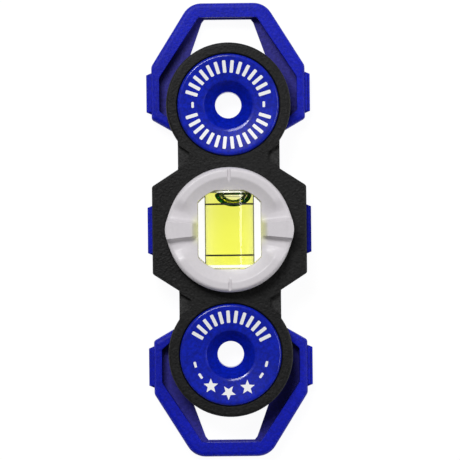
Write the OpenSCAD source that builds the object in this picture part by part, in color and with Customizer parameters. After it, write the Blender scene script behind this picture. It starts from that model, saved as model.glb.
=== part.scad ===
// Magnetic stud finder: two magnet heads with pencil holes, a hanging loop beyond each
// head, and between them a dial that turns a bubble vial. It lies on its back, with the
// back pads at z = 0, the long axis along Y and the front facing +Z.

/* [Overall] */
// Length over both end loops, mm
body_len = 139.8; // [138:0.2:142]
// Width over the long sides of the loops, mm
frame_w = 47.3; // [47:0.1:48]
// Width over the side tabs, mm
tab_span = 50.5; // [49.8:0.1:52]
// Distance from the dial axis to each pencil hole, mm
head_offset = 38.3; // [38.1:0.1:38.6]
// How far the back pads stand out of the frame, mm
pad_proud = 0.5; // [0.3:0.1:0.7]

/* [Rear frame] */
// Thickness of the frame floor and of the loop ledges, mm
floor_t = 2.0; // [1.8:0.1:2.4]
// Height of the loop rims above the back pads, mm
rim_top = 6.2; // [5.8:0.1:8]
// Width of the loop rim across the far end, mm
rim_end_w = 4.4; // [4:0.1:5]
// Radius of the outer top edge of the loop rims, mm
rim_round = 1.4; // [0.8:0.1:1.6]

/* [Front body] */
// Height of the deck above the back pads, mm
deck_top = 12; // [11.5:0.1:12.1]
// Thickness of the deck, mm
deck_t = 2.0; // [1.8:0.1:2.2]
// Thickness of the side walls, mm
wall_t = 1.6; // [1.4:0.1:2]
// Outside radius of the collars round the discs, mm
collar_r = 19.1; // [19:0.1:19.2]
// Half width of the neck between collar and deck, mm
neck_half = 15.6; // [15.2:0.1:16]

/* [Discs and magnets] */
// Outside radius of the discs, mm
disc_r = 15.6; // [15.4:0.1:15.6]
// Radius of the pencil holes, mm
pencil_r = 4.05; // [3.7:0.05:4.2]
// Outside radius of the ring magnets, mm
magnet_r = 12; // [11:0.1:12]
// Thickness of the ring magnets, mm
magnet_t = 5; // [4:0.1:5]

/* [Dial] */
// Outside radius of the dial flange, mm
dial_r = 19.1; // [18.8:0.1:19.2]
// Radius of the dial shaft inside the deck bore, mm
shaft_r = 17.02; // [17:0.01:17.04]
// Half width of the dial window, mm
window_half_w = 9.65; // [9.4:0.05:9.8]
// Half height of the dial window, mm
window_half_h = 11.95; // [11.9:0.05:12]

/* [Vial] */
// Outside radius of the vial, mm
vial_r = 7.55; // [7.3:0.05:7.6]
// Inside radius of the vial, mm
vial_bore_r = 6.3; // [6:0.1:6.4]
// Distance of each black line from the middle of the vial, mm
line_offset = 7.85; // [7:0.05:8]

/* [Hidden] */

$fn = 96;
eps = 0.01;

blue = [0.05, 0.10, 0.66];
black = [0.13, 0.13, 0.13];
grey_white = [0.84, 0.82, 0.82];
steel = [0.62, 0.63, 0.65];
dark_steel = [0.36, 0.36, 0.38];
felt = [0.10, 0.10, 0.11];
white = [0.95, 0.95, 0.95];
clear = [0.93, 0.95, 0.90, 0.45];
lime = [0.93, 0.94, 0.25, 0.8];

half_len = body_len / 2;
half_w = frame_w / 2;
floor_top = pad_proud + floor_t;

// Loop outline, as half width and distance from the dial axis.
loop_end_half = 11.56;
loop_shoulder = 50.5;
loop_heel = 34.15;
loop_toe = [17.5, 30.6];
loop_radii = [0, 1.0, 2.5, 6.4, 6.4, 2.5, 1.0, 0];
pocket_end_half = 9.04;
pocket_half_w = 21.2;
pocket_shoulder = 47;
pocket_heel = 36.7;
pocket_toe = [18.4, 34.3];
pocket_radii = [0, 0.8, 2, 0.8, 0.8, 2, 0.8, 0];
hole_far = [7.2, 65];
hole_mid = [8, 64];
hole_near = [11.6, 54];
collar_clear = 0.1;

tab_top = 3.8;
tab_step_top = 4.5;
rim_steps = 3;
tab_step_w = 0.8;
loop_tab = [36, 48.4];
mid_tab_half = 7.5;
tab_slope = 0.5;

deck_half_h = 13.4;
slant_end = 18.6;
deck_chamfer = 0.6;
deck_corner_r = 1.0;
corner_steps = 8;
deck_corner_steps = 3;
neck_notch = [[15.8, 26.3], [12.1, 23.7], [12.1, 21.2], [15.8, 19.1]];
notch_floor = 10.3;
channel_half = 9.4;
channel_end = 24.5;
collar_bore_r = disc_r + 0.15;
collar_inside_r = 16.4;
shelf_r = 14;
shelf_top = deck_top - 1.7;
shelf_t = 1.0;
collar_round = 0.9;
collar_steps = 7;
seat_chamfer = 0.3;
neck_run = 12;

bore_r = 17.1;
deck_under = deck_top - deck_t;
boss_r = 2.4;
pilot_r = 0.9;
shank_r = 0.85;
screw_clear_r = 1.1;
neck_screw = [8, 22.2];
collar_screw_r = 17.75;
collar_screw_angle = 38;
screw_head_r = 1.8;
screw_pocket_r = 2.0;
screw_pocket_z = 1.5;
screw_head_t = 0.8;
frame_shank_top = 8.6;
pilot_top = 9;

tube_r = 5.2;
tube_hole_r = 5.3;
tube_end = 0.7;
pad_r = 14.5;
pad_hole_r = 5.5;
pad_seat_r = 14.6;
pad_top = pad_proud + 0.6;
magnet_hole_r = 5.6;
magnet_seat = pad_top + 0.8;
magnet_top = magnet_seat + magnet_t;
flux_t = 1.2;
flux_top = magnet_top + flux_t;
cup_wall_t = 1.2;
cup_top = 5.5;
disc_under = shelf_top - 0.4;
disc_rim_top = deck_top + 0.6;
disc_rim_r = disc_r - 0.9;
bowl_r = 7.4;
bowl_lip = 0.35;
bowl_top = deck_top - 0.45;
bowl_bottom = 8.5;
bowl_steps = 8;
rib_r = [9.5, 10.5];
skirt_r = [12.9, 13.85];
skirt_end = shelf_top - 1.7;

print_t = 0.06;
print_band = [9.8, 13.6];
tick_w = 1.05;
tick_pitch = 11.2;
upper_tick_from = 17;
upper_tick_count = 14;
lower_tick_from = 26;
lower_tick_count = 12;
dash = [0.75, 1.8];
upper_dash_r = 10.9;
lower_dash_angles = [-105.5, -123, -57, -74.5];
lower_dash_r = 11.3;
star_r = 2.15;
star_waist = 0.42;
star_points = 5;
star_places = [[-6.2, -9.5, 0], [-0.8, -11.5, 180], [5.0, -10.0, 0]];

vial_z = 9.6;
flange_under = deck_top + 0.35;
flange_edge = 0.5;
flange_side_top = 14.9;
lip_top = 17.5;
lip_r = 17.6;
dish_points = [[16.2, 17.5], [15.5, 17.05], [14.4, 16.6], [13, 16.2], [11, 15.8], [0, 15.55]];
lip_steps = 7;
window_round_r = 12.7;
tunnel_half_h = 12.1;
tunnel_top = 14.6;
rear_drum_r = 18.6;
rear_neck_r = 16.6;
rear_hole_r = 17.1;
rear_drum_z = 3.2;
rear_face_z = 0.9;
rear_window_t = 1.1;
grip_top = 18.7;
grip_base = 15.2;
grip_in = 11.4;
grip_foot = 9.7;
grip_out_r = 19.7;
grip_half_in = 1.95;
grip_half_out = 2.85;
grip_flare = 0.75;
notch_w = 0.8;
notch_from = 15.4;
notch_to = 18.3;
notch_depth = 0.7;
ring_groove = [15.9, 10.4, 11.6];
ring_out_r = 17.05;
ring_gap = 0.05;
dial_screw = [13.2, 4.5];
dial_screw_seat = 2.2;
dial_screw_top = 12.6;
dial_pilot_top = 13;
dial_head_z = 1.2;

vial_ends = [-11.8, 11.9];
vial_floor = -10.8;
vial_plug_in = 11.3;
pin_r = 3.0;
pin_end = 14.2;
pin_socket_r = 3.05;
pin_socket_end = 14.3;
bubble_r = 4.3;
bubble_at = [1.0, 11.35, 0.5];
line_w = 0.45;
line_t = 0.07;

function unit(v) = v / norm(v);

// Points of an arc of radius r that rounds the corner p1 between p0 and p2.
function corner(p0, p1, p2, r, steps) =
    let (u = unit(p0 - p1), w = unit(p2 - p1), half = acos(u * w) / 2)
    let (c = p1 + unit(u + w) * r / sin(half), s = p1 + u * r / tan(half) - c)
    let (turn = (180 - 2 * half) * (cross(u, w) > 0 ? -1 : 1))
    [for (i = [0:steps]) let (a = turn * i / steps)
        c + [s.x * cos(a) - s.y * sin(a), s.x * sin(a) + s.y * cos(a)]];

function rounded(pts, radii, steps) =
    let (n = len(pts))
    [for (i = [0:n - 1])
        each (radii[i] > 0
            ? corner(pts[(i + n - 1) % n], pts[i], pts[(i + 1) % n], radii[i], steps)
            : [pts[i]])];

// Moves each side of a convex outline inwards by d.
function inset(pts, d) =
    let (n = len(pts))
    [for (i = [0:n - 1])
        let (u = unit(pts[(i + n - 1) % n] - pts[i]), w = unit(pts[(i + 1) % n] - pts[i]))
        pts[i] + unit(u + w) * d / sin(acos(u * w) / 2)];

// A right-hand half outline, listed towards +Y, with its mirror image.
function mirrored(half) = concat(half, [for (i = [len(half) - 1:-1:0]) [-half[i].x, half[i].y]]);

loop_outline = mirrored([loop_toe, [half_w, loop_heel], [half_w, loop_shoulder],
    [loop_end_half, half_len]]);
pocket_outline = mirrored([pocket_toe, [pocket_half_w, pocket_heel],
    [pocket_half_w, pocket_shoulder], [pocket_end_half, half_len - rim_end_w]]);
deck_outline = mirrored([[neck_half, -slant_end], [half_w, -deck_half_h],
    [half_w, deck_half_h], [neck_half, slant_end]]);
deck_radii = [0, deck_corner_r, deck_corner_r, 0, 0, deck_corner_r, deck_corner_r, 0];

module both_ends() {
    for (a = [0, 180]) rotate(a) children();
}

module at_both_heads() {
    both_ends() translate([0, head_offset]) children();
}

module slab(z0, z1) {
    translate([0, 0, z0]) linear_extrude(z1 - z0) children();
}

module disc_at(r, z0, z1) {
    translate([0, 0, z0]) cylinder(r = r, h = z1 - z0);
}

module ring_at(r_in, r_out, z0, z1) {
    difference() {
        disc_at(r_out, z0, z1);
        disc_at(r_in, z0 - eps, z1 + eps);
    }
}

module frame_screw_places() {
    for (sx = [-1, 1], sy = [-1, 1]) translate([sx * neck_screw.x, sy * neck_screw.y]) children();
    at_both_heads() for (a = [collar_screw_angle, 180 - collar_screw_angle])
        rotate(a) translate([collar_screw_r, 0]) children();
}

module dial_screw_places() {
    for (sx = [-1, 1], sy = [-1, 1]) translate([sx * dial_screw.x, sy * dial_screw.y]) children();
}

// Plan of the floor: both loops, the collars, the necks and the deck.
module floor_plan() {
    both_ends() {
        polygon(rounded(loop_outline, loop_radii, corner_steps));
        translate([0, head_offset]) circle(r = collar_r);
    }
    polygon(rounded(deck_outline, deck_radii, deck_corner_steps));
    square([2 * neck_half, 2 * (slant_end + channel_end)], center = true);
}

module side_tab(y0, y1) {
    slab(pad_proud, tab_top)
        polygon([[half_w - tab_step_w, y0 - tab_slope], [tab_span / 2, y0 + tab_slope],
            [tab_span / 2, y1 - tab_slope], [half_w - tab_step_w, y1 + tab_slope]]);
    slab(pad_proud, tab_step_top) translate([half_w, y0 + tab_slope])
        square([tab_step_w, y1 - y0 - 2 * tab_slope]);
}

// Plan of a loop at one angle round the rounded top edge of its rim.
module rim_slice(a) {
    d = rim_round * (1 - cos(a));
    top = rim_top - rim_round * (1 - sin(a));
    slab(top - eps, top)
        polygon(rounded(inset(loop_outline, d), [for (r = loop_radii) max(r - d, 0)],
            corner_steps));
}

module loop_rim() {
    difference() {
        union() {
            slab(floor_top - eps, rim_top - rim_round + eps)
                polygon(rounded(loop_outline, loop_radii, corner_steps));
            for (i = [0:rim_steps - 1]) hull() {
                rim_slice(90 * i / rim_steps);
                rim_slice(90 * (i + 1) / rim_steps);
            }
        }
        slab(floor_top, rim_top + 1) polygon(rounded(pocket_outline, pocket_radii, corner_steps));
        translate([0, head_offset]) disc_at(collar_r + collar_clear, floor_top, rim_top + 1);
        slab(floor_top, rim_top + 1)
            square([2 * neck_half + 2 * collar_clear, 2 * head_offset], center = true);
    }
}

module rear_frame() {
    color(blue) difference() {
        union() {
            slab(pad_proud, floor_top) floor_plan();
            both_ends() loop_rim();
            both_ends() for (m = [0, 1]) mirror([m, 0]) side_tab(loop_tab[0], loop_tab[1]);
            difference() {
                for (m = [0, 1]) mirror([m, 0]) side_tab(-mid_tab_half, mid_tab_half);
                slab(floor_top, rim_top)
                    square([frame_w + 2 * collar_clear, 4 * mid_tab_half], center = true);
            }
            at_both_heads()
                ring_at(magnet_r + collar_clear, magnet_r + collar_clear + cup_wall_t,
                    floor_top - eps, cup_top);
        }
        both_ends() difference() {
            slab(pad_proud - 1, floor_top + 1)
                polygon(mirrored([[hole_near.x, head_offset], hole_near, hole_mid, hole_far]));
            translate([0, head_offset]) disc_at(collar_r, 0, rim_top);
        }
        at_both_heads() {
            disc_at(tube_hole_r, pad_proud - 1, floor_top + 1);
            disc_at(pad_seat_r, pad_proud - 1, pad_top);
            disc_at(magnet_r + collar_clear, magnet_seat, cup_top + 1);
        }
        disc_at(rear_hole_r, pad_proud - 1, floor_top + 1);
        frame_screw_places() {
            disc_at(screw_clear_r, pad_proud - 1, floor_top + 1);
            disc_at(screw_pocket_r, pad_proud - 1, screw_pocket_z);
        }
    }
}

// Outside section of a collar, with its rounded top edge.
module collar_outside() {
    polygon([[0, floor_top], [collar_r, floor_top],
        for (i = [0:collar_steps]) let (a = 90 * i / collar_steps)
            [collar_r - collar_round * (1 - cos(a)), deck_top - collar_round * (1 - sin(a))],
        [0, deck_top]]);
}

// Hollow of a collar: the disc's seat above a shelf, and the magnet's room below it.
module collar_hollow() {
    polygon([[0, floor_top - 1], [collar_inside_r, floor_top - 1],
        [collar_inside_r, shelf_top - shelf_t], [shelf_r, shelf_top - shelf_t],
        [shelf_r, shelf_top], [collar_bore_r, shelf_top],
        [collar_bore_r, deck_top - seat_chamfer],
        [collar_bore_r + seat_chamfer + 1, deck_top + 1], [0, deck_top + 1]]);
}

// Cuts the top edge that runs from p to q, with the body on its left.
module edge_cut(p, q) {
    translate([p.x, p.y, deck_top]) rotate(atan2(q.y - p.y, q.x - p.x))
        rotate([90, 0, 90]) linear_extrude(norm(q - p))
            polygon([[deck_chamfer + 1, 1], [-1, -deck_chamfer - 1], [-1, 1]]);
}

module deck_cavity() {
    difference() {
        slab(floor_top - 1, deck_under) {
            polygon(inset(deck_outline, wall_t));
            square([2 * channel_half, 2 * channel_end], center = true);
        }
        at_both_heads() disc_at(collar_r, 0, deck_top);
        for (sx = [-1, 1], sy = [-1, 1])
            translate([sx * neck_screw.x, sy * neck_screw.y]) disc_at(boss_r, floor_top, deck_top);
    }
}

module front_body() {
    edge = rounded(deck_outline, deck_radii, deck_corner_steps);
    color(black) difference() {
        union() {
            slab(floor_top, deck_top) {
                polygon(edge);
                square([2 * neck_half, 2 * (slant_end + neck_run)], center = true);
            }
            at_both_heads() rotate_extrude() collar_outside();
        }
        deck_cavity();
        at_both_heads() rotate_extrude() collar_hollow();
        disc_at(bore_r, deck_under - 1, deck_top + 1);
        both_ends() {
            for (i = [0:len(edge) / 2 - 2]) edge_cut(edge[i], edge[i + 1]);
            for (m = [0, 1]) mirror([m, 0]) slab(notch_floor, deck_top + 1) polygon(neck_notch);
        }
        frame_screw_places() disc_at(pilot_r, floor_top - 1, pilot_top);
    }
}

// Section of a disc: pencil tube, bowl, sloping face, rounded rim, skirt and rib.
module disc_profile() {
    polygon([[pencil_r, tube_end], [pencil_r, bowl_bottom],
        for (i = [1:bowl_steps]) let (a = 90 * i / bowl_steps)
            [bowl_r - (bowl_r - pencil_r) * cos(a),
                bowl_bottom + (bowl_top - bowl_bottom) * (1 - cos(a)) * sin(a)],
        [bowl_r + bowl_lip, bowl_top + bowl_lip / 2],
        [disc_rim_r, disc_rim_top],
        for (i = [1:lip_steps]) let (a = 90 * i / lip_steps)
            [disc_rim_r + (disc_r - disc_rim_r) * sin(a),
                disc_rim_top - (disc_r - disc_rim_r) * (1 - cos(a))],
        [disc_r, shelf_top], [skirt_r[1], shelf_top], [skirt_r[1], skirt_end],
        [skirt_r[0], skirt_end], [skirt_r[0], disc_under], [rib_r[1], disc_under],
        [rib_r[1], flux_top], [rib_r[0], flux_top], [rib_r[0], disc_under],
        [tube_r, disc_under - 1], [tube_r, tube_end]]);
}

module head_disc() {
    color(blue) rotate_extrude() disc_profile();
}

module ring_magnet() {
    color(steel) ring_at(magnet_hole_r, magnet_r, magnet_seat, magnet_top);
}

module flux_plate() {
    color(dark_steel) ring_at(magnet_hole_r, magnet_r, magnet_top, flux_top);
}

module back_pad() {
    color(felt) ring_at(pad_hole_r, pad_r, 0, pad_top);
}

// Thin skin that follows the sloping face of a disc.
module print_skin() {
    face = [[bowl_r + bowl_lip, bowl_top + bowl_lip / 2], [disc_rim_r, disc_rim_top]];
    rotate_extrude() polygon([face[0], face[1], face[1] + [0, print_t], face[0] + [0, print_t]]);
}

module ticks(start, count, pitch) {
    for (i = [0:count - 1]) rotate(start + i * pitch)
        translate([print_band[0], -tick_w / 2]) square([print_band[1] - print_band[0], tick_w]);
}

module star() {
    polygon([for (i = [0:2 * star_points - 1]) let (r = i % 2 == 0 ? star_r : star_r * star_waist)
        r * [sin(180 * i / star_points), cos(180 * i / star_points)]]);
}

module on_face() {
    intersection() {
        print_skin();
        slab(bowl_top, disc_rim_top + 1) children();
    }
}

module upper_print() {
    color(white) translate([0, head_offset]) on_face() {
        ticks(upper_tick_from, upper_tick_count, tick_pitch);
        ticks(180 + upper_tick_from, upper_tick_count, tick_pitch);
        for (a = [0, 180]) rotate(a) translate([upper_dash_r - dash.x / 2, -dash.y / 2])
            square(dash);
    }
}

module lower_print() {
    color(white) translate([0, -head_offset]) on_face() {
        ticks(lower_tick_from, lower_tick_count, tick_pitch);
        for (a = lower_dash_angles) rotate(a) translate([lower_dash_r, -dash.y / 2]) square(dash);
        for (p = star_places) translate([p[0], p[1]]) rotate(p[2]) star();
    }
}

// A pan-head screw pointing up, with a cross cut in its head.
module screw(z_head, z_seat, z_top) {
    disc_at(shank_r, z_seat - eps, z_top);
    difference() {
        disc_at(screw_head_r, z_head, z_seat);
        for (a = [0, 90]) rotate(a) translate([0, 0, z_head])
            cube([2 * shank_r, shank_r / 2, shank_r], center = true);
    }
}

module frame_screws() {
    color(steel) frame_screw_places()
        screw(screw_pocket_z - screw_head_t, screw_pocket_z, frame_shank_top);
}

module dial_screws() {
    color(steel) dial_screw_places() screw(dial_head_z, dial_screw_seat, dial_screw_top);
}

module window_plan() {
    intersection() {
        square([2 * window_half_w, 2 * window_half_h], center = true);
        circle(r = window_round_r);
    }
}

module tunnel(z0, z1) {
    slab(z0, z1) square([2 * window_half_w, 2 * tunnel_half_h], center = true);
}

module pin_sockets() {
    translate([0, pin_socket_end, vial_z]) rotate([90, 0, 0])
        cylinder(r = pin_socket_r, h = 2 * pin_socket_end);
}

module dial_profile() {
    polygon([[0, vial_z], [shaft_r, vial_z], [shaft_r, ring_groove[1]],
        [ring_groove[0], ring_groove[1]], [ring_groove[0], ring_groove[2]],
        [shaft_r, ring_groove[2]], [shaft_r, flange_under],
        [dial_r - flange_edge, flange_under], [dial_r, flange_under + flange_edge],
        for (i = [0:lip_steps]) let (a = 90 * i / lip_steps)
            [lip_r + (dial_r - lip_r) * cos(a),
                flange_side_top + (lip_top - flange_side_top) * sin(a)],
        each dish_points]);
}

module grip() {
    intersection() {
        hull() {
            slab(grip_top - eps, grip_top)
                polygon([[grip_in, -grip_half_in], [grip_out_r + 1, -grip_half_out],
                    [grip_out_r + 1, grip_half_out], [grip_in, grip_half_in]]);
            slab(grip_base, grip_base + eps)
                polygon([[grip_foot, -grip_half_in - grip_flare],
                    [grip_out_r + 1, -grip_half_out - grip_flare],
                    [grip_out_r + 1, grip_half_out + grip_flare],
                    [grip_foot, grip_half_in + grip_flare]]);
        }
        rotate_extrude() polygon([[0, grip_base], [grip_out_r - flange_edge, grip_base],
            [grip_out_r, grip_base + flange_edge], [grip_out_r, grip_top - flange_edge],
            [grip_out_r - flange_edge, grip_top], [0, grip_top]]);
    }
}

module dial_front() {
    color(grey_white) difference() {
        union() {
            rotate_extrude() dial_profile();
            both_ends() grip();
        }
        tunnel(vial_z - 1, tunnel_top);
        slab(vial_z, grip_top + 1) window_plan();
        pin_sockets();
        dial_screw_places() disc_at(pilot_r, vial_z - 1, dial_pilot_top);
        both_ends() translate([-notch_w / 2, notch_from, lip_top - notch_depth])
            cube([notch_w, notch_to - notch_from, notch_depth + 1]);
    }
}

module dial_rear() {
    color(grey_white) difference() {
        union() {
            disc_at(rear_drum_r, rear_drum_z, vial_z);
            disc_at(rear_neck_r, rear_face_z, rear_drum_z + eps);
        }
        tunnel(rear_face_z + rear_window_t, vial_z + 1);
        slab(rear_face_z - 1, vial_z) window_plan();
        pin_sockets();
        dial_screw_places() {
            disc_at(screw_clear_r, rear_face_z - 1, vial_z + 1);
            disc_at(screw_pocket_r, rear_face_z - 1, dial_screw_seat);
        }
    }
}

module friction_ring() {
    color(felt) ring_at(ring_groove[0], ring_out_r, ring_groove[1] + ring_gap,
        ring_groove[2] - ring_gap);
}

// Draws its children with their Z axis turned to lie along the vial.
module along_vial() {
    translate([0, 0, vial_z]) rotate([-90, 0, 0]) children();
}

module vial_tube() {
    color(clear) along_vial() {
        difference() {
            disc_at(vial_r, vial_ends[0], vial_ends[1]);
            disc_at(vial_bore_r, vial_floor, vial_ends[1] + 1);
        }
        disc_at(pin_r, -pin_end, vial_ends[0] + eps);
    }
}

module vial_fluid() {
    color(lime) difference() {
        along_vial() disc_at(vial_bore_r, vial_floor, vial_plug_in);
        translate([bubble_at.x, bubble_at.y, vial_z + bubble_at.z]) sphere(r = bubble_r);
    }
}

module vial_plug() {
    color(white) along_vial() {
        disc_at(vial_bore_r, vial_plug_in, vial_ends[1]);
        disc_at(pin_r, vial_ends[1] - eps, pin_end);
    }
}

module vial_lines() {
    color(black) along_vial() for (s = [-1, 1])
        ring_at(vial_r, vial_r + line_t, s * line_offset - line_w / 2,
            s * line_offset + line_w / 2);
}

rear_frame();
front_body();
translate([0, head_offset]) head_disc();  // upper_disc
translate([0, -head_offset]) head_disc();  // lower_disc
translate([0, head_offset]) ring_magnet();  // upper_magnet
translate([0, -head_offset]) ring_magnet();  // lower_magnet
translate([0, head_offset]) flux_plate();  // upper_flux_plate
translate([0, -head_offset]) flux_plate();  // lower_flux_plate
translate([0, head_offset]) back_pad();  // upper_pad
translate([0, -head_offset]) back_pad();  // lower_pad
frame_screws();
upper_print();
lower_print();
dial_front();
dial_rear();
friction_ring();
dial_screws();
vial_tube();
vial_fluid();
vial_plug();
vial_lines();
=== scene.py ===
"""Magnetic stud finder with a turning level dial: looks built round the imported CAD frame.

Shapes are given in mm, and at() turns them into metres. Lamps and camera are in metres. The
dial's axis is the origin, +Y runs to the upper disc, and +Z out of the front.
"""
import math

import bmesh
import bpy
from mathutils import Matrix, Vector


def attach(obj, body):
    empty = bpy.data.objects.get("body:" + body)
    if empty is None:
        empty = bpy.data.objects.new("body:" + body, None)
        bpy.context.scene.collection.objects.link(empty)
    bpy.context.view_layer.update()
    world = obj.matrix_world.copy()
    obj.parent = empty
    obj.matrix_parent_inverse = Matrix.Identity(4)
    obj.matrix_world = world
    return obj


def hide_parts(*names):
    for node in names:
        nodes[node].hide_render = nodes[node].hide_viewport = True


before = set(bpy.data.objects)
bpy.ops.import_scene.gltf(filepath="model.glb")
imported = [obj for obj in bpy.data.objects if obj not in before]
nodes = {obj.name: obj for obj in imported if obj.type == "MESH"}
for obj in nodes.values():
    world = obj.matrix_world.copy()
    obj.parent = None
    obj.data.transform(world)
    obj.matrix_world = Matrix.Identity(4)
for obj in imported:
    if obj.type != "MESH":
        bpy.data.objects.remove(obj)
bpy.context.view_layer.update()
scene = bpy.context.scene

MM = 0.001
HEAD = 38.3  # distance from the dial's axis to each disc's
ROUND_STEPS = 192
SHARP = math.radians(32)


# ---------------------------------------------------------------- materials
UP_FROM, UP_FULL = 0.75, 0.95  # upward part of the normal, from a slope to a floor
LIT_FLOOR_FADE = 0.4  # mm above a low floor over which its painted light fades out
WAVE_MM, ROUGH_SPREAD, COAT_ROUGH = 9.0, 0.08, 0.12
WAVE_STOPS, SPECKLE_STOPS = (0.3, 0.7), (0.36, 0.66)
CELL_SCALE, SPECKLE_SCALE = 0.6, 0.55  # frequencies against the grain's
CELL_SHARE = 0.35  # weight of the cells in the grain's height


def nodes_of(material):
    tree = material.node_tree
    shader = next(n for n in tree.nodes if n.type == "BSDF_PRINCIPLED")
    return tree, shader


def new_material(name):
    """A new material, its node tree and its main shader."""
    material = bpy.data.materials.new(name)
    material.use_nodes = True
    return material, *nodes_of(material)


def add(tree, kind, **inputs):
    made = tree.nodes.new(kind)
    for key, value in inputs.items():
        made.inputs[key.replace("_", " ")].default_value = value
    return made


def mixed(tree, kind, factor, first, second):
    """Mixes two colours. Each is a socket or a colour, and no factor means all the way."""
    made = tree.nodes.new("ShaderNodeMix")
    made.data_type = "RGBA"
    made.blend_type = kind
    made.inputs[0].default_value = 1.0
    if factor is not None:
        tree.links.new(factor, made.inputs[0])
    for slot, value in ((6, first), (7, second)):
        if isinstance(value, tuple):
            made.inputs[slot].default_value = value
        else:
            tree.links.new(value, made.inputs[slot])
    return made.outputs[2]


def ramped(tree, value, start, stop, kind="SMOOTHSTEP"):
    """Goes from 0 where the value is at its start to 1 at its stop."""
    step = tree.nodes.new("ShaderNodeMapRange")
    step.interpolation_type = kind
    step.inputs["From Min"].default_value = start
    step.inputs["From Max"].default_value = stop
    tree.links.new(value, step.inputs["Value"])
    return step.outputs["Result"]


def within(tree, place, axis, outer_mm, inner_mm, both_sides=False):
    """Goes from 0 at the outer distance along an axis to 1 at the inner one."""
    split = tree.nodes.new("ShaderNodeSeparateXYZ")
    tree.links.new(place.outputs["Object"], split.inputs["Vector"])
    distance = split.outputs[axis]
    if both_sides:
        plain = add(tree, "ShaderNodeMath")
        plain.operation = "ABSOLUTE"
        tree.links.new(distance, plain.inputs[0])
        distance = plain.outputs["Value"]
    return ramped(tree, distance, outer_mm * MM, inner_mm * MM)


def facing_up(tree):
    """1 on surfaces that face up, and 0 on upright and lower ones."""
    surface = tree.nodes.new("ShaderNodeNewGeometry")
    split = tree.nodes.new("ShaderNodeSeparateXYZ")
    tree.links.new(surface.outputs["Normal"], split.inputs["Vector"])
    return ramped(tree, split.outputs["Z"], UP_FROM, UP_FULL, "LINEAR")


def product(tree, first, second):
    """Product of two masks."""
    made = add(tree, "ShaderNodeMath")
    made.operation = "MULTIPLY"
    tree.links.new(first, made.inputs[0])
    tree.links.new(second, made.inputs[1])
    return made.outputs["Value"]


def two_tone(tree, noise, stops, first, second):
    """Goes from one colour to another between two levels of a noise."""
    ramp = tree.nodes.new("ShaderNodeValToRGB")
    for element, stop, colour in zip(ramp.color_ramp.elements, stops, (first, second)):
        element.position = stop
        element.color = (*colour, 1)
    tree.links.new(noise.outputs["Fac"], ramp.inputs["Fac"])
    return ramp.outputs["Color"]


def gloss_by(tree, shader, noise, least, most):
    """Roughness that follows a noise between two values."""
    gloss = add(tree, "ShaderNodeMapRange", To_Min=least, To_Max=most)
    tree.links.new(noise.outputs["Fac"], gloss.inputs["Value"])
    tree.links.new(gloss.outputs["Result"], shader.inputs["Roughness"])


def bump_by(tree, shader, height, strength, depth_mm):
    bump = add(tree, "ShaderNodeBump", Strength=strength, Distance=depth_mm * MM)
    tree.links.new(height, bump.inputs["Height"])
    tree.links.new(bump.outputs["Normal"], shader.inputs["Normal"])


def plastic(name, colour, rough, grain_mm, grain_depth_mm, spread=0.12, coat=0.0,
            specular=0.5, speckle=0.0, low=None, painted_vial_light=None):
    """Moulded plastic: eroded grain as bump, slow colour and gloss variation, and speckle.
    low and glow paint light into the colour. low is the colour of a lighter, hazier tone,
    painted light and sheen on upward-facing floors, and the height in mm that they lie below.
    glow is the colour of a painted yellow light from the vial on the plastic round it, and for
    X and Y the distances in mm from the middle where it starts and is full."""
    material, tree, shader = new_material(name)
    shader.inputs["Coat Weight"].default_value = coat
    shader.inputs["Coat Roughness"].default_value = COAT_ROUGH
    shader.inputs["Specular IOR Level"].default_value = specular
    place = tree.nodes.new("ShaderNodeTexCoord")
    slow = add(tree, "ShaderNodeTexNoise", Scale=1 / (WAVE_MM * MM), Detail=3.0, Roughness=0.55)
    fine = add(tree, "ShaderNodeTexNoise", Scale=1 / (grain_mm * MM), Detail=4.0, Roughness=0.6)
    cells = add(tree, "ShaderNodeTexVoronoi", Scale=CELL_SCALE / (grain_mm * MM))
    mottle = add(tree, "ShaderNodeTexNoise", Scale=SPECKLE_SCALE / (grain_mm * MM), Detail=2.5,
                 Roughness=0.75)
    for texture in (slow, fine, cells, mottle):
        tree.links.new(place.outputs["Object"], texture.inputs["Vector"])
    shade = two_tone(tree, slow, WAVE_STOPS, [c * (1 - spread) for c in colour],
                     [min(c * (1 + spread), 1) for c in colour])
    # Painted light: a lighter, hazier tone on upward-facing floors below a height, standing in for
    # light and sheen.
    if low:
        lit_floor_colour, lit_floor_z = low
        near = product(tree, within(tree, place, "Z", lit_floor_z + LIT_FLOOR_FADE, lit_floor_z), facing_up(tree))
        shade = mixed(tree, "MIX", near, shade, (*lit_floor_colour, 1))
    # Painted light: a yellow tint near the middle that stands in for light from the vial falling
    # on the plastic.
    if painted_vial_light:
        vial_light_colour, along_x, along_y = painted_vial_light
        near = product(tree, within(tree, place, "X", *along_x, both_sides=True),
                       within(tree, place, "Y", *along_y, both_sides=True))
        shade = mixed(tree, "MIX", near, shade, (*vial_light_colour, 1))
    if speckle:
        tones = two_tone(tree, mottle, SPECKLE_STOPS, [1 - speckle] * 3, [1 + speckle] * 3)
        shade = mixed(tree, "MULTIPLY", None, shade, tones)
    tree.links.new(shade, shader.inputs["Base Color"])
    gloss_by(tree, shader, fine, max(rough - ROUGH_SPREAD, 0.02), min(rough + ROUGH_SPREAD, 1))
    height = add(tree, "ShaderNodeMath")
    height.operation = "MULTIPLY_ADD"
    height.inputs[1].default_value = CELL_SHARE
    tree.links.new(cells.outputs["Distance"], height.inputs[0])
    tree.links.new(fine.outputs["Fac"], height.inputs[2])
    bump_by(tree, shader, height.outputs["Value"], 1.0, grain_depth_mm)
    return material


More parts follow.
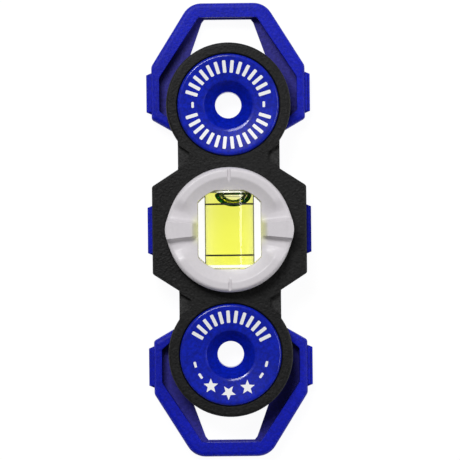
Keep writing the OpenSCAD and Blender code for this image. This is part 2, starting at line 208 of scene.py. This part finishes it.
def metal(name, colour, rough, grain_mm, stretch):
    """Plated steel with turned or rolled marks."""
    material, tree, shader = new_material(name)
    shader.inputs["Metallic"].default_value = 1.0
    shader.inputs["Base Color"].default_value = (*colour, 1)
    place = tree.nodes.new("ShaderNodeTexCoord")
    scale = add(tree, "ShaderNodeMapping", Scale=stretch)
    grain = add(tree, "ShaderNodeTexNoise", Scale=1 / (grain_mm * MM), Detail=5.0)
    tree.links.new(place.outputs["Object"], scale.inputs["Vector"])
    tree.links.new(scale.outputs["Vector"], grain.inputs["Vector"])
    gloss_by(tree, shader, grain, rough * 0.7, rough * 1.4)
    bump_by(tree, shader, grain.outputs["Fac"], 0.5, 0.02)
    return material


def mix_shaders(tree, factor, first, second):
    """Shows the first shader where the factor is 0 and the second where it is 1."""
    out = next(n for n in tree.nodes if n.type == "OUTPUT_MATERIAL")
    made = tree.nodes.new("ShaderNodeMixShader")
    tree.links.new(factor, made.inputs["Fac"])
    tree.links.new(first.outputs[0], made.inputs[1])
    tree.links.new(second.outputs[0], made.inputs[2])
    tree.links.new(made.outputs[0], out.inputs["Surface"])
    return made


def edge_shade(tree, shader, colour, start, stop):
    """Painted shade: darkens a clear surface where it turns away from the view, standing in for
    the dark outline that refraction gives thick glass.
    """
    weight = add(tree, "ShaderNodeLayerWeight", Blend=0.5)
    painted_outline_shade = add(tree, "ShaderNodeBsdfDiffuse", Color=(*colour, 1))
    return mix_shaders(tree, ramped(tree, weight.outputs["Facing"], start, stop), shader, painted_outline_shade)


def shadow_pass(tree, shader, tint):
    """Lets lamps through a clear piece, tinted, so that it isn't dark inside."""
    path = tree.nodes.new("ShaderNodeLightPath")
    open_way = add(tree, "ShaderNodeBsdfTransparent", Color=(*tint, 1))
    mix_shaders(tree, path.outputs["Is Shadow Ray"], shader, open_way)


def glass(name, ior, edge, start, stop, tint):
    """Clear, with a painted dark outline that stands in for refraction at its edge."""
    material, tree, shader = new_material(name)
    shader.inputs["Base Color"].default_value = (1, 1, 1, 1)
    shader.inputs["Transmission Weight"].default_value = 1.0
    shader.inputs["IOR"].default_value = ior
    shader.inputs["Roughness"].default_value = 0.0
    shadow_pass(tree, edge_shade(tree, shader, edge, start, stop), tint)
    return material


def bevelled_cad(material, radius_mm):
    """Same material for a CAD node, with the shading of slightly rounded edges."""
    copy = material.copy()
    copy.name = material.name + "_cad"
    tree, shader = nodes_of(copy)
    bump = next(n for n in tree.nodes if n.type == "BUMP")
    soft = tree.nodes.new("ShaderNodeBevel")
    soft.samples = 6
    soft.inputs["Radius"].default_value = radius_mm * MM
    tree.links.new(soft.outputs["Normal"], bump.inputs["Normal"])
    return copy


# The blue's low floors get a painted lighter, hazier tone of light and sheen below 3 mm.
BLUE = plastic("blue_moulded", (0.003, 0.009, 0.41), 0.46, 0.5, 0.11, spread=0.10, specular=0.17,
               speckle=0.22, low=((0.028, 0.025, 0.25), 3.0))
DISC_BLUE = plastic("blue_disc", (0.002, 0.012, 0.38), 0.34, 0.6, 0.035, spread=0.08, coat=0.6,
                    specular=0.16, speckle=0.30)
# The black's low floors, the deck's notches below 10.8 mm, get a painted lighter tone, light where
# they lie in shadow.
BLACK = plastic("black_moulded", (0.0065, 0.0065, 0.0065), 0.50, 0.6, 0.17, spread=0.25,
                specular=0.22, speckle=0.6, low=((0.022, 0.022, 0.022), 10.8))
# The pale plastic gets a painted yellow light from the vial round the window.
PALE = plastic("pale_moulded", (0.665, 0.637, 0.665), 0.42, 0.6, 0.006, spread=0.02, coat=0.10,
               specular=0.30, speckle=0.02, painted_vial_light=((0.82, 0.82, 0.50), (12.2, 9.8), (6.0, 0.6)))
INK = plastic("white_ink", (0.90, 0.90, 0.91), 0.45, 0.25, 0.01, spread=0.02)
BLACK_INK = plastic("black_ink", (0.008, 0.008, 0.008), 0.4, 0.2, 0.005, spread=0.1)
PAD = plastic("pad_foam", (0.025, 0.025, 0.027), 0.9, 0.35, 0.12, spread=0.2)
RUBBER = plastic("ring_rubber", (0.02, 0.02, 0.02), 0.7, 0.3, 0.01)
PLUG = plastic("plug_plastic", (0.80, 0.80, 0.70), 0.4, 0.5, 0.01, spread=0.03)
NICKEL = metal("magnet_nickel", (0.60, 0.59, 0.57), 0.22, 0.8, (1, 1, 6))
PLATE = metal("plate_zinc", (0.48, 0.48, 0.49), 0.34, 0.6, (1, 8, 1))
SCREW = metal("screw_zinc", (0.55, 0.55, 0.56), 0.3, 0.4, (6, 1, 1))

CAD_LOOKS = (
    ("rear_frame", bevelled_cad(BLUE, 0.3)), ("front_body", bevelled_cad(BLACK, 0.3)),
    ("upper_pad", PAD), ("lower_pad", PAD), ("upper_magnet", NICKEL), ("lower_magnet", NICKEL),
    ("upper_flux_plate", PLATE), ("lower_flux_plate", PLATE), ("frame_screws", SCREW),
    ("dial_screws", SCREW), ("friction_ring", RUBBER), ("dial_rear", bevelled_cad(PALE, 0.25)),
    ("vial_plug", PLUG))
for name, material in CAD_LOOKS:
    for slot in nodes[name].material_slots:
        slot.material = material


# ---------------------------------------------------------------- shapes
def piece(name, bm, body, material, replaces=()):
    bmesh.ops.remove_doubles(bm, verts=bm.verts, dist=1e-7)
    bmesh.ops.recalc_face_normals(bm, faces=bm.faces)
    mesh = bpy.data.meshes.new(name)
    bm.to_mesh(mesh)
    bm.free()
    for polygon in mesh.polygons:
        polygon.use_smooth = True
    mesh.set_sharp_from_angle(angle=SHARP)
    mesh.materials.append(material)
    made = bpy.data.objects.new(name, mesh)
    scene.collection.objects.link(made)
    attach(made, body)
    if replaces:
        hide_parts(*replaces)
    return made


def at(x, y, z):
    return Vector((x * MM, y * MM, z * MM))


def bridge(bm, rings, closed=True):
    """Quads between neighbouring rings of vertices, and from the last ring to the first."""
    count = len(rings) if closed else len(rings) - 1
    for i in range(count):
        a, b = rings[i], rings[(i + 1) % len(rings)]
        for j in range(len(a)):
            k = (j + 1) % len(a)
            corners = []
            for v in (a[j], a[k], b[k], b[j]):
                if v not in corners:
                    corners.append(v)
            if len(corners) > 2:
                bm.faces.new(corners)


def lathe(bm, profile, centre=(0, 0), steps=ROUND_STEPS):
    """Turns a closed section, points (radius, height), round a vertical axis."""
    rings = []
    for r, z in profile:
        rings.append([bm.verts.new(at(centre[0] + r * math.cos(2 * math.pi * i / steps),
                                      centre[1] + r * math.sin(2 * math.pi * i / steps), z))
                      for i in range(steps)])
    bridge(bm, rings)


def curve_arc(centre, radius, start, stop, steps):
    """Points of an arc in a section or plan, angles in degrees."""
    return [(centre[0] + radius * math.cos(math.radians(start + (stop - start) * i / steps)),
             centre[1] + radius * math.sin(math.radians(start + (stop - start) * i / steps)))
            for i in range(steps + 1)]


def smooth(t):
    t = min(max(t, 0.0), 1.0)
    return t * t * (3 - 2 * t)


# ---------------------------------------------------------------- discs
HOLE_R, BOWL_R, BOWL_LOW, BOWL_TOP, BOWL_CURVE = 4.05, 7.4, 7.5, 11.47, 1.12
LIP_R, LIP_Z = 7.86, 11.66
LIP_BEVEL = ((0.05, 0.045), (0.08, 0.06), (0.40, 0.165), (0.43, 0.175))  # outwards, upwards
RIM_R, RIM_Z, RIM_DROP, DISC_R = 14.75, 12.6, 0.95, 15.6
SEAT_Z, RIB_IN, RIB_OUT, RIB_FOOT = 10.3, 12.9, 13.85, 8.6
CEILING_Z, TUBE_R, TUBE_FOOT = 9.9, 5.2, 0.7
UNDER_BOWL = ((7.6, CEILING_Z), (5.6, 8.2), (TUBE_R, 7.6))
BOWL_STEPS, FACE_STEPS, RIM_STEPS = 20, 14, 10


def face_height(r):
    """Height of the disc's printed face."""
    t = (r - LIP_R) / (RIM_R - LIP_R)
    return LIP_Z + (RIM_Z - LIP_Z) * (0.85 * t + 0.15 * smooth(t))


def disc_section():
    """Section of a disc: tube, bowl, bevelled lip, sloping face, rounded rim and underside."""
    bowl = [(HOLE_R + (BOWL_R - HOLE_R) * i / BOWL_STEPS,
             BOWL_LOW + (BOWL_TOP - BOWL_LOW) * (i / BOWL_STEPS) ** BOWL_CURVE)
            for i in range(BOWL_STEPS + 1)]
    lip = [(BOWL_R + out, BOWL_TOP + up) for out, up in LIP_BEVEL]
    face = [(r, face_height(r)) for r in
            [LIP_R + (RIM_R - LIP_R) * i / FACE_STEPS for i in range(FACE_STEPS + 1)]]
    rim = [(RIM_R + (DISC_R - RIM_R) * math.sin(a), RIM_Z - RIM_DROP * (1 - math.cos(a)))
           for a in [math.radians(90 / RIM_STEPS * i) for i in range(1, RIM_STEPS + 1)]]
    rib = [(DISC_R, SEAT_Z), (RIB_OUT, SEAT_Z), (RIB_OUT, RIB_FOOT), (RIB_IN, RIB_FOOT),
           (RIB_IN, CEILING_Z)]
    return ([(HOLE_R, TUBE_FOOT)] + bowl + lip + face + rim + rib + list(UNDER_BOWL)
            + [(TUBE_R, TUBE_FOOT)])


for side, sign in (("upper", 1), ("lower", -1)):
    bm = bmesh.new()
    lathe(bm, disc_section(), (0, sign * HEAD))
    piece(side + "_disc_face", bm, "housing", DISC_BLUE, [side + "_disc"])


# ---------------------------------------------------------------- print on the discs
INK_PROUD, INK_SUNK, MARK_ROUND = 0.06, 0.02, 0.28
BAR_IN, BAR_OUT, BAR_WIDTH, BAR_STEP = 9.8, 13.6, 1.05, 11.2  # the step in degrees
DASH_HALF, DASH_WIDTH = 0.38, 1.8
UPPER_BARS, UPPER_FROM, UPPER_DASH_R = 14, 17, 10.9
LOWER_BARS, LOWER_FROM, LOWER_DASH_R = 12, 26, 11.3
LOWER_DASHES = (-165, -145.5, -34.5, -15)  # degrees
STARS = ((-6.2, -9.5, 0), (-0.8, -11.5, 180), (5.0, -10.0, 0))  # place and turn in degrees
STAR_R, STAR_WAIST = 2.3, 0.44


def mark(bm, outline, centre):
    """A flat mark that follows the disc's sloping face. Outline in mm from the disc's centre."""
    layers = [[bm.verts.new(at(x + centre[0], y + centre[1],
                               face_height(math.hypot(x, y)) + lift)) for x, y in outline]
              for lift in (INK_PROUD, -INK_SUNK)]
    for layer in layers:
        bm.faces.new(layer)
    bridge(bm, layers, closed=False)


def bar(angle, r0, r1, width):
    """A radial bar with rounded corners."""
    half = width / 2
    corners = [(r0, -half), (r1, -half), (r1, half), (r0, half)]
    pts = []
    for (x, y), start in zip(corners, (180, 270, 0, 90)):
        cx = x + (MARK_ROUND if x == r0 else -MARK_ROUND)
        cy = y + (MARK_ROUND if y < 0 else -MARK_ROUND)
        pts += curve_arc((cx, cy), MARK_ROUND, start, start + 90, 4)
    a = math.radians(angle)
    return [(x * math.cos(a) - y * math.sin(a), x * math.sin(a) + y * math.cos(a)) for x, y in pts]


def dash(angle, r):
    """A short mark across a radius."""
    return bar(angle, r - DASH_HALF, r + DASH_HALF, DASH_WIDTH)


def star(x, y, turn):
    pts = []
    for i in range(10):
        r = STAR_R if i % 2 == 0 else STAR_R * STAR_WAIST
        a = math.radians(90 + turn + 36 * i)
        pts.append((x + r * math.cos(a), y + r * math.sin(a)))
    return pts


bm = bmesh.new()
for base in (0, 180):
    for i in range(UPPER_BARS):
        mark(bm, bar(base + UPPER_FROM + BAR_STEP * i, BAR_IN, BAR_OUT, BAR_WIDTH), (0, HEAD))
    mark(bm, dash(base, UPPER_DASH_R), (0, HEAD))
piece("upper_marks", bm, "housing", INK, ["upper_print"])
bm = bmesh.new()
for i in range(LOWER_BARS):
    mark(bm, bar(LOWER_FROM + BAR_STEP * i, BAR_IN, BAR_OUT, BAR_WIDTH), (0, -HEAD))
for angle in LOWER_DASHES:
    mark(bm, dash(angle, LOWER_DASH_R), (0, -HEAD))
for x, y, turn in STARS:
    mark(bm, star(x, y, turn), (0, -HEAD))
piece("lower_marks", bm, "housing", INK, ["lower_print"])


# ---------------------------------------------------------------- dial
WINDOW_W, WINDOW_H, WINDOW_R, TUNNEL_H = 9.65, 11.95, 12.7, 12.1
WINDOW_TOP, TUNNEL_TOP, SPLIT_Z = 15.55, 14.6, 9.6
WINDOW_EDGE = ((0.0, 0.28), (0.05, 0.1))  # outwards from the window, down from its top
DIAL_R, SHAFT_R, LIP_IN, LIP_TOP = 19.1, 17.02, 17.8, 17.5
DISH_FROM, DISH_TO, DISH_CURVE, DISH_LOW, SCOOP = 11.2, 16.05, 1.55, 0.2, 0.75
RISE_FROM, RISE_RUN, LIP_FILLET = 9.6, 6, 0.18
SCOOP_END, SCOOP_FADE = 34, 16  # degrees from a grip
SIDE_TOP, SIDE_LOW, FLANGE_Z = 14.9, 14.2, 12.35
FLANGE_EDGE = ((0.02, 0.45), (0.15, 0.12), (0.45, 0.0))  # inwards from the side, upwards
GRIP_BULGE, GRIP_TOP, GRIP_TOP_IN, GRIP_FOOT, GRIP_DROP = 0.58, 18.68, 11.8, 9.75, 0.8
GRIP_HALF, GRIP_WIDENS, GRIP_FIELD = 1.95, 0.72, 24
BULGE_FADE, FIELD_STEPS = 11, 7
NOTCH_HALF, NOTCH_DEPTH = 0.46, 0.6
TURN_STEP, TURN_COUNT, CORNER_GAP = 1.5, 42, 0.008  # degrees, lines, radians
GRIP_LINES = (0.0, 0.35, 0.7, 0.93)  # shares of a grip's half width
FLANK_LINES = ((0.0, 1.0), (0.07, 0.97), (0.17, 0.88), (0.42, 0.61), (0.7, 0.32), (0.9, 0.15),
               (1.12, 0.05), (1.4, 0.01), (1.8, 0.0))  # mm beside the top, grip weight
NOTCH_LINES = ((0.9, 0.0), (NOTCH_HALF + 0.08, 0.04), (NOTCH_HALF, 0.2), (NOTCH_HALF - 0.12, 0.85),
               (NOTCH_HALF - 0.2, 1.0), (0.0, 1.0))  # mm from the middle, notch weight
WINDOW_SIDE = (0, 0.03, 0.08, 0.14, 0.20, 0.27, 0.34, 0.41, 0.48, 0.55, 0.62, 0.70, 0.80, 0.90)
FACE_START = 0.18
FACE_R = (13.0, 13.5, 14, 14.5, 15, 15.4, 15.65, 15.8, 15.9, 16.0, 16.1, 16.2, 16.35, 16.6,
          17, 17.4)
LIP_ARC = [(math.sin(math.radians(a)), math.cos(math.radians(a))) for a in range(0, 91, 9)]


def polar(angle, half_w, half_h, limit=None):
    """Distance from the axis to a rectangle's side, cut by a circle, in one direction."""
    c, s = abs(math.cos(angle)), abs(math.sin(angle))
    distance = min(half_w / c if c > 1e-9 else 1e9, half_h / s if s > 1e-9 else 1e9)
    return min(distance, limit) if limit else distance


def dish_height(r, scoop=0.0):
    """Height of the dial's face: nearly flat at the window, curving up to a flat lip that ends
    in a small fillet. Beside the grips it is scooped out, and the lip is lower."""
    base = WINDOW_TOP + DISH_LOW * smooth((r - RISE_FROM) / RISE_RUN)
    lip = (LIP_TOP - WINDOW_TOP - DISH_LOW) * (1 - SCOOP * scoop)
    ramp = lip * (max(r - DISH_FROM, 0) / (DISH_TO - DISH_FROM)) ** DISH_CURVE
    near = min(max(0.5 + 0.5 * (lip - ramp) / LIP_FILLET, 0), 1)
    fillet = LIP_FILLET * near * (1 - near) * (r > DISH_FROM)
    return base + ramp * near + lip * (1 - near) - fillet


def grip_half(r):
    """Half width of a grip's flat top."""
    return GRIP_HALF + GRIP_WIDENS * max(0.0, (r - GRIP_TOP_IN) / (DIAL_R - GRIP_TOP_IN))


def grip_height(along):
    """Height of a grip's back line, from its foot at the window outwards."""
    t = (along - GRIP_FOOT) / (GRIP_TOP_IN - GRIP_FOOT)
    top = GRIP_TOP - GRIP_DROP * min(max((DIAL_R - along) / (DIAL_R - GRIP_TOP_IN), 0), 1)
    return WINDOW_TOP + (top - WINDOW_TOP) * smooth(t) ** 0.75


def grip_side(out):
    """Offset of a line beside a grip's flat top."""
    return lambda r: grip_half(r) + out


def dial_columns():
    """Lines from the window out to the rim, as (axis angle, offset from it at a radius, grip
    weight, notch weight). They run along the grips' and notches' edges, so those stay crisp."""
    edge = grip_side(FLANK_LINES[-1][0])
    last = math.sin(math.radians(GRIP_FIELD))
    half = [(lambda r, k=k: k * grip_half(r), 1.0, 0.0) for k in GRIP_LINES]
    half += [(grip_side(out), weight, 0.0) for out, weight in FLANK_LINES]
    half += [(lambda r, t=i / FIELD_STEPS: edge(r) * (1 - t) + r * last * t, 0.0, 0.0)
             for i in range(1, FIELD_STEPS)]
    quarter = [(0.0, *line) for line in half]
    corners = [math.acos(WINDOW_W / WINDOW_R), math.asin(WINDOW_H / WINDOW_R),
               math.atan2(TUNNEL_H, WINDOW_W)]
    turns = [math.radians(GRIP_FIELD + TURN_STEP * i) for i in range(TURN_COUNT)]
    turns = sorted([t for t in turns if all(abs(t - c) > CORNER_GAP for c in corners)] + corners)
    quarter += [(0.0, (lambda r, t=t: r * math.sin(t)), 0.0, 0.0) for t in turns]
    quarter += [(math.pi / 2, (lambda r, x=x: -x), 0.0, weight) for x, weight in NOTCH_LINES]
    mirror = [(math.pi - axis, (lambda r, f=offset: -f(r)), grip, cut)
              for axis, offset, grip, cut in reversed(quarter[1:-1])]
    upper = quarter + mirror
    return upper + [(axis + math.pi, *line) for axis, *line in upper]


def on_column(axis, offset, r):
    """Plan place at a radius on a column."""
    across = offset(r)
    along = math.sqrt(max(r * r - across * across, 0.0))
    return (along * math.cos(axis) - across * math.sin(axis),
            along * math.sin(axis) + across * math.cos(axis), along)


def reach(axis, offset, half_w, half_h, limit=None):
    """Radius at which a column meets the window's or tunnel's side."""
    r = half_w
    for _ in range(12):
        x, y, _ = on_column(axis, offset, r)
        r = polar(math.atan2(y, x), half_w, half_h, limit)
    return r


def dial_section(axis, offset, grip, cut):
    """Section of the dial's front half on one column, as points (radius, height)."""
    inner = reach(axis, offset, WINDOW_W, WINDOW_H, WINDOW_R)
    tunnel = max(reach(axis, offset, WINDOW_W, TUNNEL_H), inner)
    _, y, _ = on_column(axis, offset, DIAL_R)
    from_grip = math.degrees(math.asin(min(abs(y) / DIAL_R, 1)))
    outer = DIAL_R + GRIP_BULGE * math.exp(-(from_grip / BULGE_FADE) ** 2)
    scoop = smooth((SCOOP_END - from_grip) / SCOOP_FADE)
    lip_low = dish_height(LIP_IN, scoop)
    notched = LIP_TOP - NOTCH_DEPTH * cut
    section = [(SHAFT_R, SPLIT_Z), (tunnel, SPLIT_Z), (tunnel, TUNNEL_TOP), (inner, TUNNEL_TOP)]
    section += [(inner + out, WINDOW_TOP - down) for out, down in WINDOW_EDGE]
    first = inner + FACE_START
    for r in [first + (FACE_R[0] - first) * t for t in WINDOW_SIDE] + list(FACE_R):
        low = min(dish_height(r, scoop), notched)
        high = max(grip_height(on_column(axis, offset, r)[2]), low)
        section.append((r, low + grip * (high - low)))
    for out, down in LIP_ARC:
        low = min(SIDE_TOP + (lip_low - SIDE_TOP) * down, notched)
        high = GRIP_TOP - 0.5 * (1 - down) ** 1.3 - 3.2 * (1 - down) ** 9  # rounds the grip off
        section.append((LIP_IN + (outer - LIP_IN) * out, low + grip * (high - low)))
    section.append((outer, SIDE_LOW))
    section += [(outer - inwards, FLANGE_Z + up) for inwards, up in FLANGE_EDGE]
    return section + [(SHAFT_R, FLANGE_Z)]


bm = bmesh.new()
columns = [[bm.verts.new(at(*on_column(axis, offset, r)[:2], z))
            for r, z in dial_section(axis, offset, grip, cut)]
           for axis, offset, grip, cut in dial_columns()]
for i, left in enumerate(columns):
    right = columns[(i + 1) % len(columns)]
    for j in range(len(left)):
        k = (j + 1) % len(left)
        bm.faces.new((left[j], left[k], right[k], right[j]))
piece("dial_face", bm, "dial", PALE, ["dial_front"])


# ---------------------------------------------------------------- vial
VIAL_Z, VIAL_R, VIAL_BORE, VIAL_LOW, VIAL_HIGH = 9.6, 7.55, 6.3, -11.8, 11.9
STEM_R, STEM_END = 3, -14.2
END_ROUND = ((0.3, 0.0), (0.08, 0.08), (0.0, 0.3), (0.0, 0.45))  # inwards, along the vial
FLUID_LOW, FLUID_HIGH, SKIN = -10.8, 11.3, 0.03
LINE_Y, LINE_HALF, LINE_PROUD, LINE_SUNK = 7.85, 0.22, 0.05, 0.02
BUBBLE_R, BUBBLE_X, BUBBLE_Y, BUBBLE_UP, BUBBLE_CURL = 4.3, 1.0, 11.35, 0.5, 0.75
DOME_STEPS = 20
VIAL_IOR = 1.42


def turned_along_y(bm, profile, steps=96):
    """Turns a section, points (radius, y) or (radius, y, across, up) for one that is off the
    vial's axis. Radius 0 closes an end."""
    rings = []
    for r, y, *off in profile:
        x, z = off or (0, 0)
        if r < 1e-6:
            rings.append([bm.verts.new(at(x, y, VIAL_Z + z))] * steps)
        else:
            rings.append([bm.verts.new(at(x + r * math.cos(2 * math.pi * i / steps), y,
                                          VIAL_Z + z + r * math.sin(2 * math.pi * i / steps)))
                          for i in range(steps)])
    bridge(bm, rings, closed=False)


# The vial's dark olive outline is painted shade.
GLASS = glass("vial_acrylic", VIAL_IOR, (0.06, 0.075, 0.01), 0.70, 0.80, (0.97, 0.98, 0.93))
bm = bmesh.new()
turned_along_y(bm, [(0, STEM_END), (STEM_R, STEM_END), (STEM_R, VIAL_LOW)]
               + [(VIAL_R - cut, VIAL_LOW + up) for cut, up in END_ROUND]
               + [(VIAL_R - cut, VIAL_HIGH - up) for cut, up in reversed(END_ROUND)]
               + [(0, VIAL_HIGH)])
piece("vial_body", bm, "dial", GLASS, ["vial_tube"])

# Liquid: no refraction of its own, and colour by the depth that light passes through.
FLUID, tree, shader = new_material("vial_liquid")
out = next(n for n in tree.nodes if n.type == "OUTPUT_MATERIAL")
open_way = tree.nodes.new("ShaderNodeBsdfTransparent")
depth = add(tree, "ShaderNodeVolumeAbsorption", Color=(0.955, 0.962, 0.08, 1), Density=185.0)
tree.links.new(open_way.outputs[0], out.inputs["Surface"])
tree.links.new(depth.outputs[0], out.inputs["Volume"])
tree.nodes.remove(shader)


def bubble_dome(radius, top):
    """Section of the bubble from its curled rim at the plug down to its lowest point."""
    rim = math.acos((BUBBLE_Y - top + BUBBLE_CURL) / radius)
    edge = radius * math.sin(rim) - BUBBLE_CURL
    section = [(edge + BUBBLE_CURL * math.sin(a), top - BUBBLE_CURL + BUBBLE_CURL * math.cos(a))
               for a in [math.radians(15 * i) for i in range(6)]]
    section += [(radius * math.sin(a), BUBBLE_Y - radius * math.cos(a))
                for a in [rim * (1 - i / DOME_STEPS) for i in range(DOME_STEPS + 1)]]
    return [(r, y, BUBBLE_X, BUBBLE_UP) for r, y in section]


bm = bmesh.new()
turned_along_y(bm, [(0, FLUID_LOW), (VIAL_BORE, FLUID_LOW), (VIAL_BORE, FLUID_HIGH),
                    *bubble_dome(BUBBLE_R, FLUID_HIGH)])
piece("vial_liquid_body", bm, "dial", FLUID, ["vial_fluid"])

bm = bmesh.new()
for y in (LINE_Y, -LINE_Y):
    turned_along_y(bm, [(VIAL_R - LINE_SUNK, y - LINE_HALF), (VIAL_R + LINE_PROUD, y - LINE_HALF),
                        (VIAL_R + LINE_PROUD, y + LINE_HALF), (VIAL_R - LINE_SUNK, y + LINE_HALF)])
piece("vial_rings", bm, "dial", BLACK_INK, ["vial_lines"])

# Air bubble against the plug: the cut-off end of a sphere, just inside the liquid's hollow.
# The bubble's dark green rim is painted shade, standing in for its refraction and reflection.
BUBBLE = glass("vial_bubble", 1 / VIAL_IOR, (0.003, 0.08, 0.012), 0.30, 0.38, (1, 1, 1))
bm = bmesh.new()
turned_along_y(bm, [(0, FLUID_HIGH - SKIN, BUBBLE_X, BUBBLE_UP),
                    *bubble_dome(BUBBLE_R - SKIN, FLUID_HIGH - SKIN)])
piece("vial_air", bm, "dial", BUBBLE)


# ---------------------------------------------------------------- room, lights, camera
FLOOR_SIZE, FLOOR_Z, FLOOR_SHADE, FLOOR_LIGHT = 3.0, -0.0002, 0.07, 0.95
WORLD_LIGHT = 0.13
LAMP_TARGET = Vector((0, 0, 0.01))
CAMERA_UP, CAMERA_X, CAMERA_Y, ROLL = 0.95, 0.00015, -0.0001, math.radians(0.6)
SENSOR_MM, VIEW_WIDTH, VIEW_LEVEL = 36.0, 0.1408, 0.012  # width of the picture at that height

floor_mat, _, shader = new_material("floor")
shader.inputs["Base Color"].default_value = (FLOOR_SHADE, FLOOR_SHADE, FLOOR_SHADE, 1)
shader.inputs["Roughness"].default_value = 0.9
shader.inputs["Emission Color"].default_value = (1, 1, 1, 1)
shader.inputs["Emission Strength"].default_value = FLOOR_LIGHT
bm = bmesh.new()
bmesh.ops.create_grid(bm, x_segments=2, y_segments=2, size=FLOOR_SIZE)
mesh = bpy.data.meshes.new("floor")
bm.to_mesh(mesh)
bm.free()
mesh.materials.append(floor_mat)
floor = bpy.data.objects.new("floor", mesh)
floor.location.z = FLOOR_Z
scene.collection.objects.link(floor)

world = bpy.data.worlds.new("studio")
world.use_nodes = True
backdrop = world.node_tree.nodes["Background"]
backdrop.inputs["Color"].default_value = (1, 1, 1, 1)
backdrop.inputs["Strength"].default_value = WORLD_LIGHT
scene.world = world


def lamp(name, location, size, power, size_y=None):
    data = bpy.data.lights.new(name, "AREA")
    data.energy = power
    data.size = size
    if size_y:
        data.shape = "RECTANGLE"
        data.size_y = size_y
    made = bpy.data.objects.new(name, data)
    made.location = location
    made.rotation_euler = (LAMP_TARGET - Vector(location)).to_track_quat("-Z", "Y").to_euler()
    scene.collection.objects.link(made)


lamp("key", (-0.19, 0.52, 0.81), 0.38, 5.6)
lamp("spark", (-0.36, 0.44, 0.78), 0.13, 1.6)
lamp("strip", (0.62, 0.0, 0.46), 0.5, 1.7, size_y=0.14)

camera = bpy.data.cameras.new("camera")
camera.sensor_width = SENSOR_MM
camera.lens = SENSOR_MM * (CAMERA_UP - VIEW_LEVEL) / VIEW_WIDTH
camera.clip_start, camera.clip_end = 0.01, 20
eye = bpy.data.objects.new("camera", camera)
eye.location = (CAMERA_X, CAMERA_Y, CAMERA_UP)
eye.rotation_euler = (0, 0, -ROLL)
scene.collection.objects.link(eye)
scene.camera = eye

scene.view_settings.view_transform = "Standard"
scene.view_settings.look = "None"
scene.cycles.use_denoising = True
scene.cycles.max_bounces = 16
scene.cycles.transmission_bounces = 12
scene.cycles.transparent_max_bounces = 16
